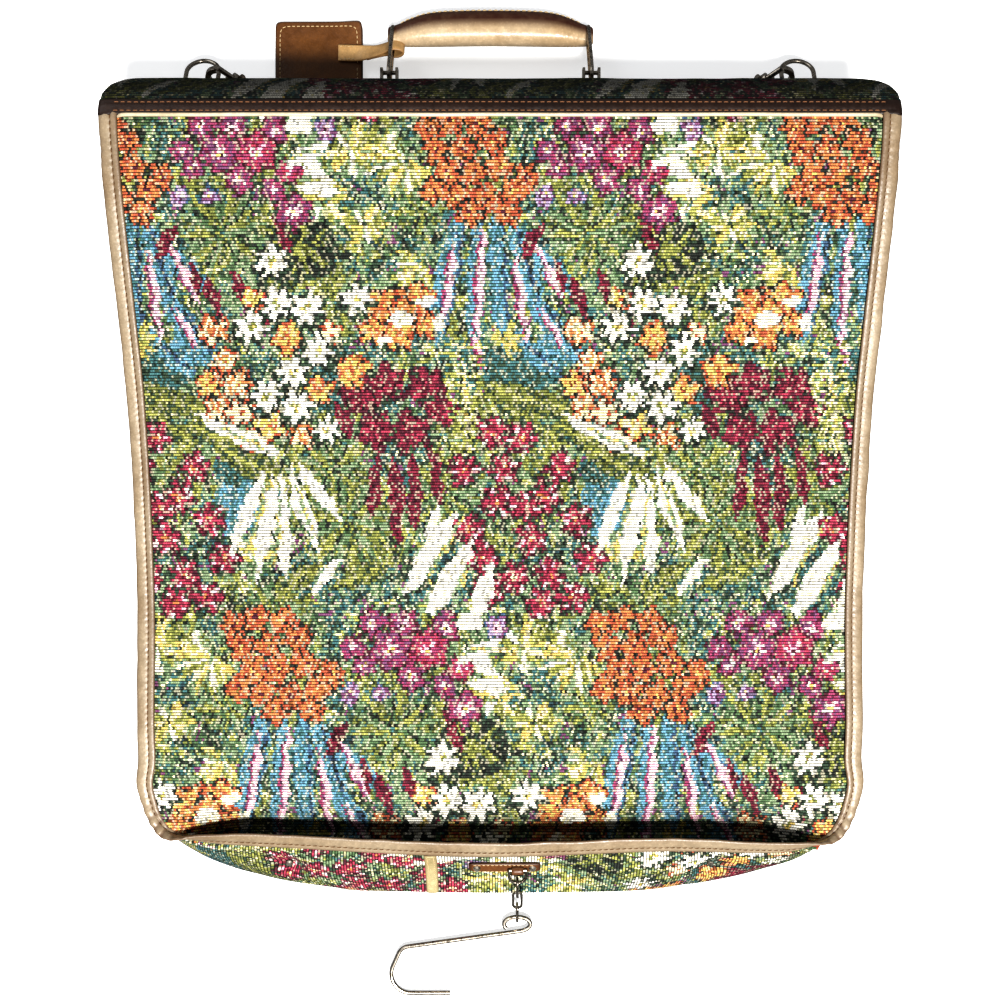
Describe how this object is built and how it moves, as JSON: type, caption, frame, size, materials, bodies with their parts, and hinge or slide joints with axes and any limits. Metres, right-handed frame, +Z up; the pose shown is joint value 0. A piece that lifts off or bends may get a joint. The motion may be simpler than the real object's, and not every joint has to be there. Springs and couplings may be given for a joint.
{
  "type": "garment bag",
  "caption": "Soft tapestry garment bag folded in half and lying on its back, with tan edge binding, padded carry handle, luggage tag, strap dees with bolt snaps and a hanging hook on a chain.",
  "frame": {"origin": "on the floor under the middle of the back panel", "axes": "+Z up from the floor out of the front panel, +Y from the hook end to the fold with the handle, +X to the right seen from above"},
  "size_m": [0.541, 0.739, 0.1171],
  "materials": {
    "tapestry": "woven floral tapestry with fine ribs",
    "tan_leather": "smooth tan leathercloth",
    "brown_leather": "brown grained leather",
    "cream_piping": "cream corded piping",
    "lining": "plain dark lining cloth",
    "fibreboard": "plain fibreboard",
    "card": "plain card",
    "zip_tape": "woven tape",
    "brass": "dull brass",
    "nickel": "worn nickel plate"
  },
  "bodies": {
    "bag": {"back_panel": "tapestry", "back_binding": "tan_leather", "gusset_left": "tapestry", "gusset_right": "tapestry", "hook_end_gusset": "tapestry", "inner_panel": "lining", "front_panel": "tapestry", "front_binding": "tan_leather", "front_end_gusset": "tapestry", "spine_panel": "tapestry", "spine_board": "fibreboard", "spine_band_front": "tan_leather", "spine_band_back": "tan_leather", "piping_front": "cream_piping", "piping_back": "cream_piping", "ridge_binding": "tan_leather", "gusset_tape": "tan_leather", "hanger_bar": "nickel", "bar_rivets": "nickel", "hook_tab": "tan_leather", "tab_rivets": "nickel", "zip_tape": "zip_tape", "zip_teeth": "brass", "zip_stops": "brass", "handle_staple_left": "nickel", "handle_staple_right": "nickel", "staple_rivets": "nickel", "dee_plate_left": "nickel", "dee_plate_right": "nickel", "dee_rivets": "nickel"},
    "handle": {"handle_grip": "tan_leather", "handle_ring_left": "nickel", "handle_ring_right": "nickel"},
    "tag": {"tag_back": "brown_leather", "tag_flap": "brown_leather", "tag_card": "card", "tag_strap": "tan_leather"},
    "dee_left": {"dee_left": "nickel"},
    "dee_right": {"dee_right": "nickel"},
    "snap_left": {"snap_body_left": "nickel"},
    "snap_right": {"snap_body_right": "nickel"},
    "bolt_left": {"snap_bolt_left": "nickel"},
    "bolt_right": {"snap_bolt_right": "nickel"},
    "eye_left": {"snap_eye_left": "nickel"},
    "eye_right": {"snap_eye_right": "nickel"},
    "hook_dee": {"hook_dee": "nickel"},
    "link_1": {"chain_link_1": "nickel"},
    "link_2": {"chain_link_2": "nickel"},
    "link_3": {"chain_link_3": "nickel"},
    "hook": {"hanging_hook": "nickel"},
    "slider": {"zip_slider": "brass"},
    "pull": {"zip_pull": "brass"}
  },
  "joints": [
    {"name": "handle_swing", "type": "hinge", "parent": "bag", "child": "handle", "pos_m": [0, 0.3089, 0.046], "axis": [1, 0, 0], "range_deg": [0, 120]},
    {"name": "tag_swing", "type": "hinge", "parent": "handle", "child": "tag", "pos_m": [-0.08, 0.33681, 0.01683], "axis": [0, 0.7833, -0.6216], "range_deg": [0, 22]},
    {"name": "dee_left_swing", "type": "hinge", "parent": "bag", "child": "dee_left", "pos_m": [-0.22, 0.30276, 0.03286], "axis": [1, 0, 0], "range_deg": [0, 60]},
    {"name": "snap_left_swing", "type": "hinge", "parent": "dee_left", "child": "snap_left", "pos_m": [-0.208, 0.31185, 0.02761], "axis": [0, -0.866, 0.5], "range_deg": [0, 42]},
    {"name": "bolt_left_slide", "type": "slide", "parent": "snap_left", "child": "bolt_left", "axis": [0.6947, -0.3597, -0.623], "range_m": [0, 0.006], "stiffness_N_per_m": 150},
    {"name": "eye_left_swivel", "type": "hinge", "parent": "snap_left", "child": "eye_left", "pos_m": [-0.18198, 0.30356, 0.01326], "axis": [0.6947, -0.3597, -0.623], "continuous": true},
    {"name": "dee_right_swing", "type": "hinge", "parent": "bag", "child": "dee_right", "pos_m": [0.22, 0.30276, 0.03286], "axis": [1, 0, 0], "range_deg": [0, 60]},
    {"name": "snap_right_swing", "type": "hinge", "parent": "dee_right", "child": "snap_right", "pos_m": [0.208, 0.31185, 0.02761], "axis": [0, 0.866, -0.5], "range_deg": [0, 42]},
    {"name": "bolt_right_slide", "type": "slide", "parent": "snap_right", "child": "bolt_right", "axis": [-0.6947, -0.3597, -0.623], "range_m": [0, 0.006], "stiffness_N_per_m": 150},
    {"name": "eye_right_swivel", "type": "hinge", "parent": "snap_right", "child": "eye_right", "pos_m": [0.18198, 0.30356, 0.01326], "axis": [-0.6947, -0.3597, -0.623], "continuous": true},
    {"name": "hook_dee_swing", "type": "hinge", "parent": "bag", "child": "hook_dee", "pos_m": [0.013, -0.27305, 0.02908], "axis": [-1, 0, 0], "range_deg": [0, 70]},
    {"name": "link_1_swing", "type": "hinge", "parent": "hook_dee", "child": "link_1", "pos_m": [0.013, -0.28387, 0.02284], "axis": [-1, 0, 0], "range_deg": [0, 45]},
    {"name": "link_2_swing", "type": "hinge", "parent": "link_1", "child": "link_2", "pos_m": [0.013, -0.2953, 0.01622], "axis": [0, 0.501, -0.8655], "range_deg": [0, 25]},
    {"name": "link_3_swing", "type": "hinge", "parent": "link_2", "child": "link_3", "pos_m": [0.013, -0.30672, 0.00961], "axis": [-1, 0, 0], "range_deg": [0, 45]},
    {"name": "hook_turn", "type": "hinge", "parent": "link_3", "child": "hook", "pos_m": [0.013, -0.31538, 0.0046], "axis": [0, 0, 1], "range_deg": [-8, 30]},
    {"name": "zip_slide", "type": "slide", "parent": "bag", "child": "slider", "axis": [0, -1, 0], "range_m": [0, 0.33]},
    {"name": "zip_pull_swing", "type": "hinge", "parent": "slider", "child": "pull", "pos_m": [-0.2644, 0.168, 0.0115], "axis": [0, 0, -1], "range_deg": [0, 170]}
  ]
}
